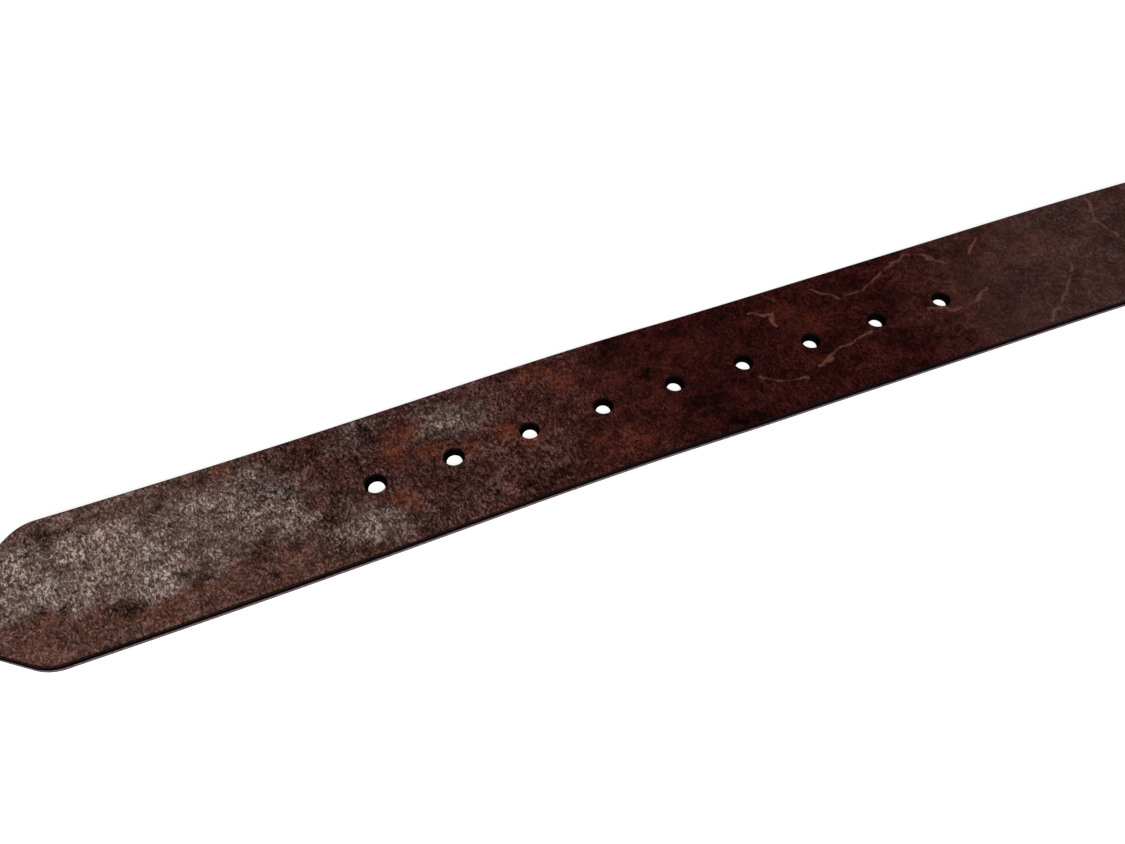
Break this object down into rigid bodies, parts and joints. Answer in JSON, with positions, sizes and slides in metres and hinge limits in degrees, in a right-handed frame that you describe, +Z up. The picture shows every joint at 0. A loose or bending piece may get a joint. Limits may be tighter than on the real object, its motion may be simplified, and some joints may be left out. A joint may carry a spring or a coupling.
{
  "type": "guitar strap",
  "caption": "Belt-style leather guitar strap in two halves: pointed tail with punched adjusting holes, and a folded shoulder half with a roller buckle.",
  "frame": {"origin": "centre of the tail half's strap-button hole, on the flesh side of the leather, which lies on the surface at Z = 0", "axes": "+X along the strap away from the pointed tip, +Y across the strap, +Z up, out of the grain side"},
  "size_m": [0.7262, 0.1356, 0.0467],
  "materials": {
    "strap_leather": "waxed and distressed, dark brown with rust-coloured wear",
    "keeper_leather": "waxed, dark brown",
    "buckle_metal": "antiqued, satin",
    "screw_metal": "antiqued, satin",
    "staple_metal": "satin"
  },
  "bodies": {
    "shoulder_half": {"shoulder_strap": "strap_leather", "screw_posts": "screw_metal", "screws": "screw_metal"},
    "tail_half": {"tail_strap": "strap_leather"},
    "frame": {"buckle_frame": "buckle_metal"},
    "roller": {"buckle_roller": "buckle_metal"},
    "prong": {"buckle_prong": "buckle_metal"},
    "keeper": {"keeper_loop": "keeper_leather", "keeper_staples": "staple_metal"}
  },
  "joints": [
    {"name": "tail_lift", "type": "slide", "parent": "shoulder_half", "child": "tail_half", "axis": [0, 0, 1], "range_m": [0, 0.15]},
    {"name": "buckle_hinge", "type": "hinge", "parent": "shoulder_half", "child": "frame", "pos_m": [-0.058, -0.072, 0.013], "axis": [0, 1, 0], "range_deg": [0, 35]},
    {"name": "prong_hinge", "type": "hinge", "parent": "frame", "child": "prong", "pos_m": [-0.058, -0.072, 0.013], "axis": [0, 1, 0], "range_deg": [0, 85]},
    {"name": "roller_spin", "type": "hinge", "parent": "frame", "child": "roller", "pos_m": [-0.09394, -0.072, 0.011], "axis": [0, 1, 0], "continuous": true},
    {"name": "keeper_slide", "type": "slide", "parent": "shoulder_half", "child": "keeper", "axis": [1, 0, 0], "range_m": [-0.006, 0.006]}
  ]
}
